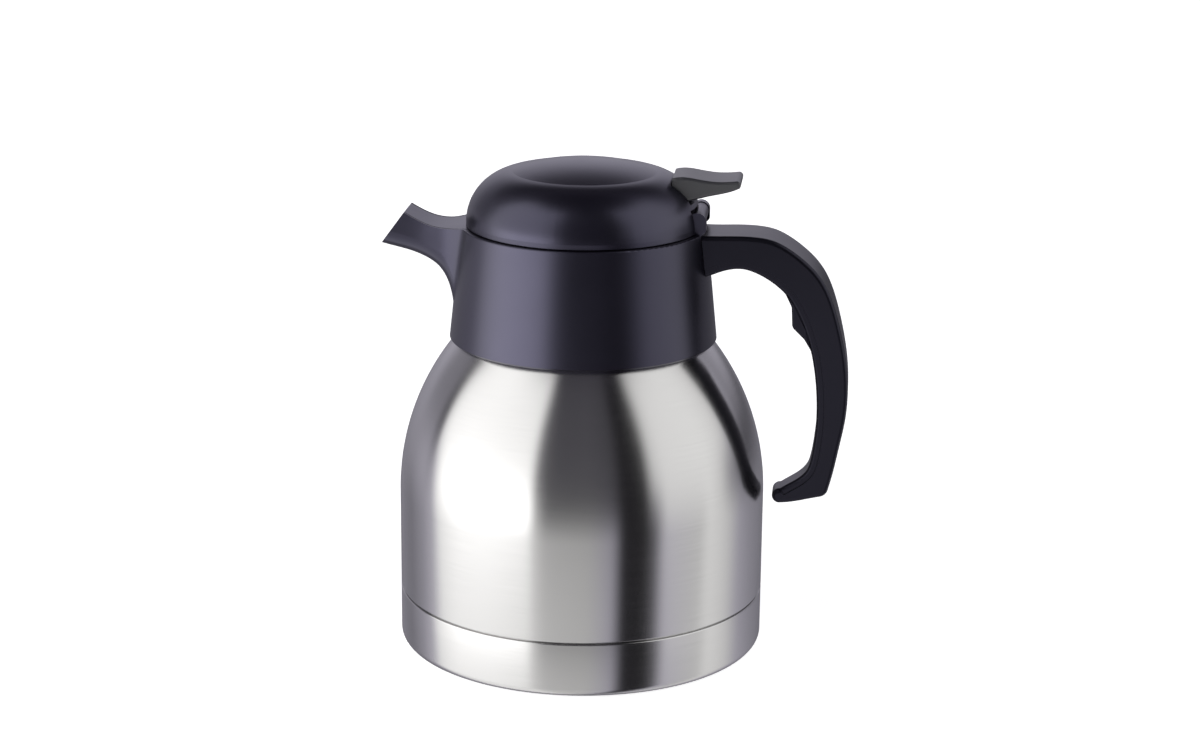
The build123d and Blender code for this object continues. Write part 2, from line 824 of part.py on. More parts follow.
def spout_cover():
    """Tongue of the lid that closes the top of the spout."""
    plate = cover_form(spout_rim + cover_gap) & above_spout(cover_thickness)
    low_z = cover_root_low_z
    high_z = cover_root_high_z
    root = slab(-beyond, -cover_root_x, -cover_root_y, cover_root_y, low_z, high_z)
    root = root & disc(cover_root_radius, low_z, high_z)
    # The front of the dome ends above the tongue, which stays clear of the mouth's edge
    return plate - above_spout(0) - beyond_mouth() + root


def lid_seal():
    """Soft ring in the groove of the lid skirt."""
    inner = skirt_radius - lid_seal_depth
    return ring(inner, lid_seal_radius, lid_seal_low_z, lid_seal_low_z + lid_seal_height)


def lid_screws():
    """Three screws that hold the dome on the lid plate."""
    screws = []
    for x, y in post_spots():
        head = post(x, y, screw_head_radius, plate_low_z - screw_head_height, plate_low_z)
        cross = Pos(x, y, plate_low_z - screw_head_height) * (Box(3.2, 0.7, 1.6) + Box(0.7, 3.2, 1.6))
        shank = post(x, y, screw_radius, plate_low_z, plate_top_z() + lid_screw_reach)
        screws.append(head - cross + shank)
    return Compound(children=screws)


def pillar_spots():
    """Places of the four pillars between the stopper and the lid plate."""
    spots = []
    for angle in (30, 100, 260, 330):
        spots.append((pillar_circle * cos(radians(angle)), pillar_circle * sin(radians(angle))))
    return spots


def stopper_flange():
    """Upper plate of the stopper with the valve seat and the pillars to the lid."""
    top_z = flange_low_z + flange_thickness
    body = ring(port_radius, flange_radius, flange_low_z, top_z)
    body += ring(port_radius, port_radius + port_wall, flange_low_z, top_z + 0.6)
    for x, y in pillar_spots():
        body += post(x, y, pillar_radius, flange_low_z, plate_low_z)
    return body


def stopper_cup():
    """Lower cup of the stopper around the valve port."""
    outside = turned(
        [
            (0, stopper_low_z),
            (stopper_low_radius - 1.5, stopper_low_z),
            (stopper_low_radius, stopper_low_z + 1.5),
            (stopper_cup_radius, flange_low_z - 3.0),
            (stopper_cup_radius, flange_low_z),
            (0, flange_low_z),
        ]
    )
    room = turned(
        [
            (port_radius + port_wall, stopper_low_z + stopper_wall),
            (stopper_low_radius - 2.2, stopper_low_z + stopper_wall),
            (stopper_cup_radius - stopper_wall, flange_low_z - 3.0),
            (stopper_cup_radius - stopper_wall, flange_low_z + 1),
            (port_radius + port_wall, flange_low_z + 1),
        ]
    )
    return outside - room - disc(port_radius, stopper_low_z - 1, flange_low_z + 1)


def stopper_foam():
    """Insulating ring of foam in the stopper cup."""
    inner = port_radius + port_wall + seat_gap
    low_z = stopper_low_z + stopper_wall
    return turned(
        [
            (inner, low_z),
            (stopper_low_radius - 3.0, low_z),
            (stopper_cup_radius - stopper_wall - 0.9, flange_low_z - 3.0),
            (stopper_cup_radius - stopper_wall - 0.9, flange_low_z - 0.2),
            (inner, flange_low_z - 0.2),
        ]
    )


def stopper_seal():
    """Soft ring under the flange that closes on the collar's deck."""
    low_z = deck_top_z + running_gap
    return turned(
        [
            (stopper_seal_inner, flange_low_z),
            (stopper_seal_inner, low_z + 0.5),
            (stopper_seal_inner + 0.5, low_z),
            (flange_radius - 0.5, low_z),
            (flange_radius, low_z + 0.5),
            (flange_radius, flange_low_z),
        ]
    )


def lever_pin():
    """Steel pin of the thumb lever."""
    reach = lever_half_width + running_gap + pin_seat
    return bar_y(lever_pivot_x, lever_pivot_z, lever_pin_radius, -reach, reach)


def spring_ends():
    """Lower and upper end heights of the valve spring's wire centre."""
    low_z = head_low_z + head_thickness + 0.05 + spring_wire / 2
    high_z = dome_top_z - dome_wall - 0.12 - spring_wire / 2
    return low_z, high_z


def valve_spring():
    """Helical spring that pushes the valve shut."""
    low_z, high_z = spring_ends()
    height = high_z - low_z
    path = Pos(0, 0, low_z) * Helix(pitch=height / spring_turns, height=height, radius=spring_radius)
    section = Plane(origin=path @ 0, z_dir=path % 0) * Circle(spring_wire / 2)
    return sweep(section, path=path)


def thumb_lever():
    """Thumb lever: a wing behind the lid, a block in the notch and a forked arm."""
    top = Spline(*lever_top)
    tip = ThreePointArc(lever_top[-1], lever_tip, lever_under[0])
    under = Spline(*lever_under)
    heel = Polyline(lever_under[-1], *lever_heel, lever_top[0])
    wing = wide(face_xz(top, tip, under, heel), lever_half_width)
    wing = round_sides(wing, lever_edge, lever_top[1][0])
    arm = wide(polygon_xz(lever_arm_low + lever_arm_high), fork_outer_y)
    fork = wide(polygon_xz(fork_tines), fork_outer_y)
    fork += bar_y(0, fork_z, fork_radius, -fork_outer_y, fork_outer_y)
    fork -= slab(-2 * fork_radius, fork_slot_x, -fork_inner_y, fork_inner_y, fork_z - 5, fork_z + 5)
    body = wing + arm + fork
    hole = lever_pin_radius + pin_play
    return body - bar_y(lever_pivot_x, lever_pivot_z, hole, -wide_cut, wide_cut)


def disc_low_z():
    """Lower face of the valve disc, above its soft seal."""
    return flange_low_z + flange_thickness + 0.6 + running_gap + valve_seal_thickness


def valve_stem():
    """Stem with the valve disc at its foot."""
    low_z = disc_low_z()
    body = disc(valve_disc_radius, low_z, low_z + valve_disc_thickness)
    body += disc(stem_radius, low_z - 3.0, head_low_z + head_thickness)
    return body + disc(4.0, low_z + valve_disc_thickness, low_z + valve_disc_thickness + 0.5)


def valve_seal():
    """Soft washer under the valve disc, buttoned over the stem's foot."""
    low_z = disc_low_z() - valve_seal_thickness
    return ring(stem_radius, valve_disc_radius + 0.4, low_z, low_z + valve_seal_thickness)


def stem_head():
    """Cap on the stem that the lever's fork lifts and the spring pushes on."""
    return ring(stem_radius, head_radius, head_low_z, head_low_z + head_thickness)


parts = {
    "base_pad": base_pad,
    "base_cup": base_cup,
    "outer_shell": outer_shell,
    "shell_bottom": shell_bottom,
    "inner_flask": inner_flask,
    "inner_neck": inner_neck,
    "inner_flask_bottom": inner_flask_bottom,
    "neck_ring": neck_ring,
    "neck_gasket": neck_gasket,
    "collar": collar,
    "handle_shell": handle_shell,
    "handle_cover": handle_cover,
    "handle_screws": handle_screws,
    "hinge_pin": hinge_pin,
    "lid_base": lid_base,
    "lid_dome": lid_dome,
    "lid_seal": lid_seal,
    "lid_screws": lid_screws,
    "stopper_flange": stopper_flange,
    "stopper_cup": stopper_cup,
    "stopper_foam": stopper_foam,
    "stopper_seal": stopper_seal,
    "lever_pin": lever_pin,
    "valve_spring": valve_spring,
    "thumb_lever": thumb_lever,
    "valve_stem": valve_stem,
    "valve_seal": valve_seal,
    "stem_head": stem_head,
}

os.makedirs("parts", exist_ok=True)
for name, make in parts.items():
    export_step(make(), f"parts/{name}.step")
    print("wrote", name)
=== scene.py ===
import json
from math import acos, cos, degrees, pi, radians, sin

import bpy
from mathutils import Matrix

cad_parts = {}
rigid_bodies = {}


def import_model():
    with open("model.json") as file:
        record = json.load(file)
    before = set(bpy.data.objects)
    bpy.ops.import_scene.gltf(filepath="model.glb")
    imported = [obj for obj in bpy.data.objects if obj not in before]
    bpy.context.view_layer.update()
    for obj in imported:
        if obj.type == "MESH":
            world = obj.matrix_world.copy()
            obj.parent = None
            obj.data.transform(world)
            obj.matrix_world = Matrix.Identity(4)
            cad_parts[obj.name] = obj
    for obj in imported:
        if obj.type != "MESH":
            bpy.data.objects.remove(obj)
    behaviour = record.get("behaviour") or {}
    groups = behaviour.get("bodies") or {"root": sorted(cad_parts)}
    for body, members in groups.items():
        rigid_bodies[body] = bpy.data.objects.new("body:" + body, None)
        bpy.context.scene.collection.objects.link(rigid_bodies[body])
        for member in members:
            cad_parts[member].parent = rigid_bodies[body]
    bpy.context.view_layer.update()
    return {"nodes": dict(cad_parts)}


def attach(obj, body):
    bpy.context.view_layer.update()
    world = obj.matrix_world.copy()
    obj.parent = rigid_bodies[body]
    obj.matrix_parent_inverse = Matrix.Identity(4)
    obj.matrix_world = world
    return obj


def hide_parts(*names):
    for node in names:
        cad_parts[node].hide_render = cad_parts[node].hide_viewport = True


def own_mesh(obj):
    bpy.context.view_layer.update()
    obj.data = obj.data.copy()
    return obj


bl_info = {
    "name": "Vacuum carafe",
    "version": (1, 0, 0),
    "blender": (4, 5, 0),
    "location": "3D View > Sidebar > Carafe",
    "description": "Dresses the packed vacuum carafe in steel, plastic and silicone, in a studio",
    "category": "Object",
}

MM = 0.001
ROUND_STEPS = 192
SMOOTH_ANGLE = 35
WIRE_SMOOTH_ANGLE = 60
SAME_POINT = 1e-6
TINT = {"data_type": "RGBA", "blend_type": "MULTIPLY"}
WHITE = (1, 1, 1, 1)

# The camera, fitted to the photograph's outline: bearing in degrees, place and clip in metres,
# pitch and roll in radians, sensor and lens in millimetres
CAMERA_BEARING = -84.0
CAMERA_PLACE = (0.1018, -0.9682, 0.383)
CAMERA_PITCH = 0.2767
CAMERA_ROLL = 0.0087
CAMERA_SENSOR = 36
CAMERA_LENS = 79.466
CAMERA_SHIFT = (0.01413, -0.00748)
CAMERA_CLIP = (0.05, 60)

# The floor's side in metres, and how much it glows
FLOOR_SIZE = 14
FLOOR_GLOW = 0.7

# Steps of the arcs in the turned outlines
EDGE_STEPS = 6
SHOULDER_STEPS = 48
FOOT_STEPS = 10
INNER_FOOT_STEPS = 8
PAD_EDGE_STEPS = 4

MATERIALS = {}

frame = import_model()


def length_property(name, description, default):
    """A length in metres that a user may change."""
    return bpy.props.FloatProperty(
        name=name, description=description, default=default * MM, unit="LENGTH"
    )


class CarafeSizes(bpy.types.PropertyGroup):
    """Sizes of the pieces made here; each repeats the solid that the piece stands for."""

    body_radius: length_property(
        "Body radius", "Outside radius of the steel bottle and the base cup", 70.0
    )
    seam_height: length_property("Seam height", "Height of the bottle's lower edge", 21.9)
    seam_gap: length_property("Seam gap", "Open slit between the bottle and the base cup", 0.6)
    step_radius: length_property(
        "Step radius", "Radius of the bottle where it enters the base cup", 69.0
    )
    step_low: length_property(
        "Step low", "Height at which the stepped part of the bottle ends", 10.0
    )
    shoulder_start: length_property(
        "Shoulder start", "Height at which the side turns into the shoulder", 59.5
    )
    shoulder_radius: length_property("Shoulder radius", "Radius of the shoulder's arc", 93.47)
    neck_radius: length_property("Neck radius", "Outside radius of the bottle's neck", 37.5)
    neck_flare: length_property("Neck flare", "Width of the curve between shoulder and neck", 4.5)
    neck_top: length_property("Neck top", "Height of the neck under the liner's rim", 146.6)
    steel: length_property("Steel", "Thickness of the sheet steel", 0.8)
    rolled_edge: length_property("Rolled edge", "Radius of the rounded edges at the seam", 0.45)
    cup_low: length_property("Cup low", "Height of the base cup's lower face", 0.3)
    cup_corner: length_property("Cup corner", "Radius of the base cup's lower edge", 3.2)
    pad_radius: length_property("Pad radius", "Radius of the pad under the carafe", 60.5)
    pad_thickness: length_property("Pad thickness", "Thickness of the pad", 1.1)
    rib_x: length_property("Rib place", "Middle of the handle's inner rib, from the axis", 92.7)
    rib_z: length_property("Rib height", "Middle of the handle's inner rib, from the table", 91.0)
    rib_depth: length_property("Rib depth", "Size of the rib across the handle's seam", 2.0)
    rib_width: length_property("Rib width", "Thickness of the rib", 1.2)
    rib_length: length_property("Rib length", "Length of the rib along the grip", 15.0)


def colour_property(name, description, default):
    """A colour as an sRGB hex value."""
    return bpy.props.StringProperty(name=name, description=description, default=default)


class CarafeColours(bpy.types.PropertyGroup):
    """Colours of the finishes as sRGB hex values."""

    steel: colour_property("Steel", "Brushed stainless steel", "c6c5c4")
    inside: colour_property("Inside", "Electropolished steel of the liner", "bdbcb8")
    plastic: colour_property("Plastic", "Black satin plastic of collar and lid", "07060b")
    handle: colour_property("Handle", "Black satin plastic of the handle", "060609")
    lever: colour_property("Lever", "Dark grey plastic of the thumb lever", "2e2e32")
    valve: colour_property("Valve", "White plastic of the valve", "dedcd6")
    seal: colour_property("Seal", "Silicone of the seals", "b9b7b0")
    pad: colour_property("Pad", "Rubber of the base pad", "1c1c1d")
    foam: colour_property("Foam", "Insulating foam in the stopper", "e6e1d2")


def linear(hex_value):
    """An sRGB hex value as linear red, green, blue and alpha."""
    out = []
    for place in (0, 2, 4):
        part = int(hex_value[place : place + 2], 16) / 255
        out.append(part / 12.92 if part <= 0.04045 else ((part + 0.055) / 1.055) ** 2.4)
    return (*out, 1.0)


def node(tree, kind, settings=None, **links):
    """One shader node; its inputs, by name or as _number, take a link or a value."""
    made = tree.nodes.new(kind)
    for key, value in (settings or {}).items():
        setattr(made, key, value)
    for key, value in links.items():
        numbered = key[0] == "_" and key[1:].isdigit()
        socket = made.inputs[int(key[1:])] if numbered else made.inputs[key.replace("_", " ")]
        if isinstance(value, bpy.types.NodeSocket):
            tree.links.new(value, socket)
        else:
            socket.default_value = value
    return made


def new_material(name):
    """An empty node material and its tree."""
    made = bpy.data.materials.new(name)
    made.use_nodes = True
    made.node_tree.nodes.clear()
    return made, made.node_tree


def close_material(tree, shader):
    """Joins the shader to the material's output."""
    node(tree, "ShaderNodeOutputMaterial", Surface=shader.outputs[0])


def brushed_steel(colour):
    """Brushed stainless steel: its gloss smears up and down, so light stands on it in bands."""
    made, tree = new_material("brushed_stainless_steel")
    where = node(tree, "ShaderNodeTexCoord").outputs["Object"]
    # Grit marks are about 0.05 mm high; they are drawn 0.4 mm high so that they show
    split = node(tree, "ShaderNodeSeparateXYZ", Vector=where)
    x, y, z = split.outputs
    angle = node(tree, "ShaderNodeMath", {"operation": "ARCTAN2"}, _0=y, _1=x)
    along = node(tree, "ShaderNodeMath", {"operation": "MULTIPLY"}, _0=angle.outputs[0], _1=2.0)
    up = node(tree, "ShaderNodeMath", {"operation": "MULTIPLY"}, _0=z, _1=2500.0)
    lines = node(tree, "ShaderNodeCombineXYZ", X=along.outputs[0], Z=up.outputs[0])
    marks = node(
        tree, "ShaderNodeTexNoise", Vector=lines.outputs[0], Scale=1.0, Detail=3.0, Roughness=0.6
    )
    # Handling and polishing leave soft clouds some 40 mm wide
    cloud = node(tree, "ShaderNodeTexNoise", Vector=where, Scale=22.0, Detail=2.0, Roughness=0.5)
    tone = node(tree, "ShaderNodeMapRange", Value=marks.outputs[0], To_Min=0.94, To_Max=1.04)
    base = node(tree, "ShaderNodeMix", TINT, _0=1.0, _6=linear(colour), _7=tone.outputs[0])
    rough = node(tree, "ShaderNodeMapRange", Value=marks.outputs[0], To_Min=0.18, To_Max=0.25)
    haze = node(tree, "ShaderNodeMapRange", Value=cloud.outputs[0], To_Min=-0.02, To_Max=0.03)
    both = {"_0": rough.outputs[0], "_1": haze.outputs[0]}
    rough = node(tree, "ShaderNodeMath", {"operation": "ADD"}, **both)
    bump = node(tree, "ShaderNodeBump", Strength=0.04, Distance=0.02 * MM, Height=marks.outputs[0])
    tangent = node(tree, "ShaderNodeTangent", {"direction_type": "RADIAL", "axis": "Z"})
    shader = node(
        tree,
        "ShaderNodeBsdfPrincipled",
        {"distribution": "GGX"},
        Base_Color=base.outputs[2],
        Metallic=1.0,
        Roughness=rough.outputs[0],
        Anisotropic=0.9,
        Anisotropic_Rotation=0.25,
        Normal=bump.outputs[0],
        Tangent=tangent.outputs[0],
    )
    close_material(tree, shader)
    return made


def plain_steel(name, colour, roughness):
    """Drawn or electropolished stainless steel: an even, cloudy gloss without brushing marks."""
    made, tree = new_material(name)
    where = node(tree, "ShaderNodeTexCoord").outputs["Object"]
    # Orange peel of the drawn sheet, about 4 mm across
    cloud = node(tree, "ShaderNodeTexNoise", Vector=where, Scale=240.0, Detail=3.0, Roughness=0.6)
    spread = {"To_Min": roughness - 0.05, "To_Max": roughness + 0.06}
    rough = node(tree, "ShaderNodeMapRange", Value=cloud.outputs[0], **spread)
    tone = node(tree, "ShaderNodeMapRange", Value=cloud.outputs[0], To_Min=0.95, To_Max=1.03)
    base = node(tree, "ShaderNodeMix", TINT, _0=1.0, _6=linear(colour), _7=tone.outputs[0])
    shader = node(
        tree,
        "ShaderNodeBsdfPrincipled",
        Base_Color=base.outputs[2],
        Metallic=1.0,
        Roughness=rough.outputs[0],
    )
    close_material(tree, shader)
    return made


def moulded(name, colour, roughness, gloss, tint="ffffff", grain=0.10, ior=1.49):
    """Plastic or rubber from an eroded tool: satin, with a faint even grain and soft clouds."""
    made, tree = new_material(name)
    where = node(tree, "ShaderNodeTexCoord").outputs["Object"]
    # The tool's grain is about 0.1 mm; it is drawn 0.35 mm wide so that it shows
    fine = node(tree, "ShaderNodeTexNoise", Vector=where, Scale=2800.0, Detail=2.0, Roughness=0.6)
    # Flow of the melt changes the gloss over some 30 mm
    cloud = node(tree, "ShaderNodeTexNoise", Vector=where, Scale=35.0, Detail=3.0, Roughness=0.5)
    tone = node(tree, "ShaderNodeMapRange", Value=cloud.outputs[0], To_Min=0.88, To_Max=1.12)
    base = node(tree, "ShaderNodeMix", TINT, _0=1.0, _6=linear(colour), _7=tone.outputs[0])
    spread = {"To_Min": roughness - 0.03, "To_Max": roughness + 0.04}
    rough = node(tree, "ShaderNodeMapRange", Value=cloud.outputs[0], **spread)
    bump = node(tree, "ShaderNodeBump", Strength=grain, Distance=0.04 * MM, Height=fine.outputs[0])
    shader = node(
        tree,
        "ShaderNodeBsdfPrincipled",
        Base_Color=base.outputs[2],
        Roughness=rough.outputs[0],
        IOR=ior,
        Specular_IOR_Level=gloss,
        Specular_Tint=linear(tint),
        Normal=bump.outputs[0],
    )
    close_material(tree, shader)
    return made


def deselect():
    """Leaves edit mode and selects nothing."""
    if bpy.context.object and bpy.context.object.mode != "OBJECT":
        bpy.ops.object.mode_set(mode="OBJECT")
    bpy.ops.object.select_all(action="DESELECT")


def spun(name, outline):
    """A turned piece: a point is extruded along the closed outline (radius, height), then spun."""
    deselect()
    bpy.ops.mesh.primitive_plane_add(size=MM, location=(0, 0, 0))
    piece = bpy.context.object
    piece.name = name
    bpy.ops.object.mode_set(mode="EDIT")
    bpy.ops.mesh.select_all(action="SELECT")
    bpy.ops.mesh.merge(type="CENTER")
    bpy.ops.transform.translate(value=(outline[0][0], 0, outline[0][1]))
    at = outline[0]
    for r, z in [*outline[1:], outline[0]]:
        step = (r - at[0], 0, z - at[1])
        bpy.ops.mesh.extrude_region_move(TRANSFORM_OT_translate={"value": step})
        at = (r, z)
    bpy.ops.mesh.select_all(action="SELECT")
    bpy.ops.mesh.remove_doubles(threshold=SAME_POINT)
    bpy.ops.mesh.select_all(action="SELECT")
    bpy.ops.mesh.spin(steps=ROUND_STEPS, angle=2 * pi, center=(0, 0, 0), axis=(0, 0, 1))
    bpy.ops.mesh.select_all(action="SELECT")
    bpy.ops.mesh.remove_doubles(threshold=SAME_POINT)
    bpy.ops.mesh.normals_make_consistent(inside=False)
    bpy.ops.object.mode_set(mode="OBJECT")
    bpy.ops.object.shade_smooth_by_angle(angle=radians(SMOOTH_ANGLE))
    return piece


def arc(centre, radius, start, end, count):
    """Points on an arc in the outline's plane, angles in degrees from the outward axis."""
    points = []
    for step in range(count + 1):
        angle = radians(start + (end - start) * step / count)
        points.append((centre[0] + radius * cos(angle), centre[1] + radius * sin(angle)))
    return points


def dress(piece, body, slot, material, *nodes):
    """Puts the finish on a piece, hangs it on its body and lets it stand for its nodes."""
    piece.data.materials.clear()
    piece.data.materials.append(material)
    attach(piece, body)
    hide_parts(*nodes)


def paint(material, *names):
    """Gives carried-over nodes their finish."""
    for name in names:
        for place in frame["nodes"][name].material_slots:
            place.material = material


def build_floor():
    """White card that the carafe stands on; it glows a little, as in an overexposed backdrop."""
    deselect()
    bpy.ops.mesh.primitive_plane_add(size=FLOOR_SIZE, location=(0, 0, 0))
    floor = bpy.context.object
    floor.name = "floor"
    made, tree = new_material("white_card_floor")
    where = node(tree, "ShaderNodeTexCoord").outputs["Object"]
    fibre = node(tree, "ShaderNodeTexNoise", Vector=where, Scale=900.0, Detail=2.0)
    rough = node(tree, "ShaderNodeMapRange", Value=fibre.outputs[0], To_Min=0.85, To_Max=0.95)
    shader = node(
        tree,
        "ShaderNodeBsdfPrincipled",
        Base_Color=linear("fafafa"),
        Roughness=rough.outputs[0],
        Emission_Color=WHITE,
        Emission_Strength=FLOOR_GLOW,
    )
    close_material(tree, shader)
    floor.data.materials.append(made)
    # The steel doesn't mirror the floor: the surround's table level stands for it there
    floor.visible_glossy = False


# The studio round the carafe. Each row: bearing from the camera in degrees, then brightness
# above eye level, at the level of the table's edge, and on the table. The bearings were traced
# from where the photograph's bands lie on the steel. Some of the brightness was worked out from
# levels read in the photograph there, and then changed by comparing renders with it
STUDIO = [
    (-180, 0.86, 0.30, 0.22),
    (-158, 0.60, 0.36, 0.28),
    (-136, 0.30, 0.46, 0.24),
    (-118, 0.28, 0.62, 0.44),
    (-115, 0.10, 0.56, 0.54),
    (-110, 0.10, 0.58, 0.58),
    (-107, 1.50, 0.66, 0.62),
    (-101, 1.75, 1.80, 1.30),
    (-92, 1.75, 2.80, 1.36),
    (-80, 1.75, 4.20, 1.38),
    (-64, 1.70, 4.30, 1.36),
    (-48, 1.62, 4.10, 1.28),
    (-34, 1.55, 3.60, 1.18),
    (-28, 0.13, 0.80, 0.95),
    (-22, 0.10, 0.07, 0.86),
    (-17, 0.10, 0.04, 0.84),
    (4, 0.11, 0.03, 0.78),
    (19, 0.09, 0.03, 0.62),
    (26, 0.02, 0.02, 0.03),
    (40, 0.02, 0.02, 0.01),
    (47, 1.05, 0.30, 0.06),
    (54, 1.20, 1.05, 0.66),
    (80, 1.25, 1.10, 0.74),
    (87, 1.25, 1.15, 1.08),
    (96, 1.20, 0.90, 1.02),
    (106, 1.10, 0.30, 0.90),
    (118, 0.60, 0.10, 0.56),
    (134, 0.36, 0.06, 0.40),
    (158, 0.60, 0.12, 0.24),
    (180, 0.86, 0.30, 0.22),
]


# The sine of the height at which one level of the studio turns into the next
TABLE_TO_LEVEL = (-0.28, -0.11)
LEVEL_TO_ABOVE = (-0.06, 0.12)
ABOVE_TO_CEILING = (0.80, 0.93)
BACK_TO_CEILING = (0.42, 0.60)
SIDE_TO_BACK = (0.25, 0.6)
CEILING = (0.05, 0.045, 0.06, 1)

# The violet cast of the studio: its share, below which brightness, and from which bearing on
VIOLET = 0.12
VIOLET_BELOW = 0.7
VIOLET_BEHIND = 150


def studio_ramp(tree, share, column):
    """The brightness of one level of the studio round the carafe."""
    ramp = node(tree, "ShaderNodeValToRGB", Fac=share)
    elements = ramp.color_ramp.elements
    for index, row in enumerate(STUDIO):
        place = (row[0] + 180) / 360
        element = elements[index] if index < 2 else elements.new(place)
        element.position = place
        value = row[column]
        # What is dark in the studio is faintly violet, and so is the wall behind the carafe
        violet = VIOLET if value < VIOLET_BELOW or abs(row[0]) > VIOLET_BEHIND else 0.0
        element.color = (value, value * (1 - violet / 4), value * (1 + violet), 1)
    return ramp.outputs[0]


def smooth_step(tree, value, low, high):
    """0 below low, 1 above high and an even curve between them."""
    settings = {"interpolation_type": "SMOOTHSTEP"}
    made = node(tree, "ShaderNodeMapRange", settings, Value=value, From_Min=low, From_Max=high)
    return made.outputs[0]


def blend(tree, share, first, second):
    """Runs from the first colour to the second."""
    made = node(tree, "ShaderNodeMix", {"data_type": "RGBA"}, _0=share, _6=first, _7=second)
    return made.outputs[2]


def build_surround():
    """Soft boxes and dark cloths, read by direction; the camera itself sees plain white."""
    world = bpy.data.worlds.new("studio_surround")
    world.use_nodes = True
    bpy.context.scene.world = world
    tree = world.node_tree
    tree.nodes.clear()
    where = node(tree, "ShaderNodeTexCoord").outputs["Generated"]
    turn = {"Vector": where, "Angle": radians(-CAMERA_BEARING)}
    faced = node(tree, "ShaderNodeVectorRotate", {"rotation_type": "Z_AXIS"}, **turn)
    split = node(tree, "ShaderNodeSeparateXYZ", Vector=faced.outputs[0])
    near, side, up = split.outputs
    angle = node(tree, "ShaderNodeMath", {"operation": "ARCTAN2"}, _0=side, _1=near)
    share = node(tree, "ShaderNodeMapRange", Value=angle.outputs[0], From_Min=-pi, From_Max=pi)
    share = share.outputs[0]
    above, level, table = (studio_ramp(tree, share, column) for column in (1, 2, 3))
    low = blend(tree, smooth_step(tree, up, *TABLE_TO_LEVEL), table, level)
    all_round = blend(tree, smooth_step(tree, up, *LEVEL_TO_ABOVE), low, above)
    topped = blend(tree, smooth_step(tree, up, *ABOVE_TO_CEILING), all_round, CEILING)
    # Behind the carafe the backdrop ends, and the dark ceiling comes lower
    behind = node(tree, "ShaderNodeMath", {"operation": "MULTIPLY"}, _0=near, _1=-1.0).outputs[0]
    far = smooth_step(tree, behind, *SIDE_TO_BACK)
    high = smooth_step(tree, up, *BACK_TO_CEILING)
    both = node(tree, "ShaderNodeMath", {"operation": "MULTIPLY"}, _0=far, _1=high).outputs[0]
    around = blend(tree, both, topped, CEILING)
    light = node(tree, "ShaderNodeBackground", Color=around, Strength=1.0)
    paper = node(tree, "ShaderNodeBackground", Color=WHITE, Strength=1.0)
    ray = node(tree, "ShaderNodeLightPath").outputs["Is Camera Ray"]
    seen = node(tree, "ShaderNodeMixShader", Fac=ray, _1=light.outputs[0], _2=paper.outputs[0])
    node(tree, "ShaderNodeOutputWorld", Surface=seen.outputs[0])


def build_camera():
    """A camera at the photograph's place."""
    data = bpy.data.cameras.new("camera")
    camera = bpy.data.objects.new("camera", data)
    bpy.context.scene.collection.objects.link(camera)
    data.sensor_width = CAMERA_SENSOR
    data.lens = CAMERA_LENS
    data.shift_x, data.shift_y = CAMERA_SHIFT
    data.clip_start, data.clip_end = CAMERA_CLIP
    turn = Matrix.Rotation(radians(90 + CAMERA_BEARING), 4, "Z")
    tilt = Matrix.Rotation(pi / 2 - CAMERA_PITCH, 4, "X")
    roll = Matrix.Rotation(CAMERA_ROLL, 4, "Z")
    camera.rotation_mode = "QUATERNION"
    camera.matrix_world = Matrix.Translation(CAMERA_PLACE) @ (turn @ tilt) @ roll
    bpy.context.scene.camera = camera


class CARAFE_OT_stage(bpy.types.Operator):
    """Floor, studio surround and camera"""

    bl_idname = "carafe.stage"
    bl_label = "Stage"

    def execute(self, context):
        context.scene.view_settings.view_transform = "Standard"
        build_floor()
        build_surround()
        build_camera()
        return {"FINISHED"}


def bottle_outline(sizes):
    """Outline of the steel bottle: rolled edge, side, shoulder, neck, and back down inside."""
    roll = sizes.rolled_edge
    centre_r = sizes.body_radius - sizes.shoulder_radius
    flare_r = sizes.neck_radius + sizes.neck_flare
    turn = degrees(acos((flare_r - centre_r) / sizes.shoulder_radius))
    edge = arc((sizes.body_radius - roll, sizes.seam_height + roll), roll, -90, 0, EDGE_STEPS)
    centre = (centre_r, sizes.shoulder_start)
    shoulder = arc(centre, sizes.shoulder_radius, 0, turn, SHOULDER_STEPS)
    flare_z = shoulder[-1][1]
    # The hidden curve under the collar is drawn with two corners, as shares of the flare's width
    bend_out, bend_up, straight_up = 0.29, 0.66, 1.6
    neck = [
        (sizes.neck_radius + bend_out * sizes.neck_flare, flare_z + bend_up * sizes.neck_flare),
        (sizes.neck_radius, flare_z + straight_up * sizes.neck_flare),
        (sizes.neck_radius, sizes.neck_top),
    ]
    outside = shoulder + neck
    inside = [(r - sizes.steel, z) for r, z in reversed(outside)]
    step_inner = sizes.step_radius - sizes.steel
    step = [
        (step_inner, sizes.seam_height + sizes.steel),
        (step_inner, sizes.step_low),
        (sizes.step_radius, sizes.step_low),
        (sizes.step_radius, sizes.seam_height),
    ]
    return edge + outside + inside + step


class CARAFE_OT_bottle(bpy.types.Operator):
    """Steel bottle with its shoulder, neck and rolled lower edge"""

    bl_idname = "carafe.bottle"
    bl_label = "Steel bottle"

    def execute(self, context):
        piece = spun("steel_bottle", bottle_outline(context.scene.carafe_sizes))
        dress(piece, "jug", "outer_shell", MATERIALS["steel"], "outer_shell")
        return {"FINISHED"}


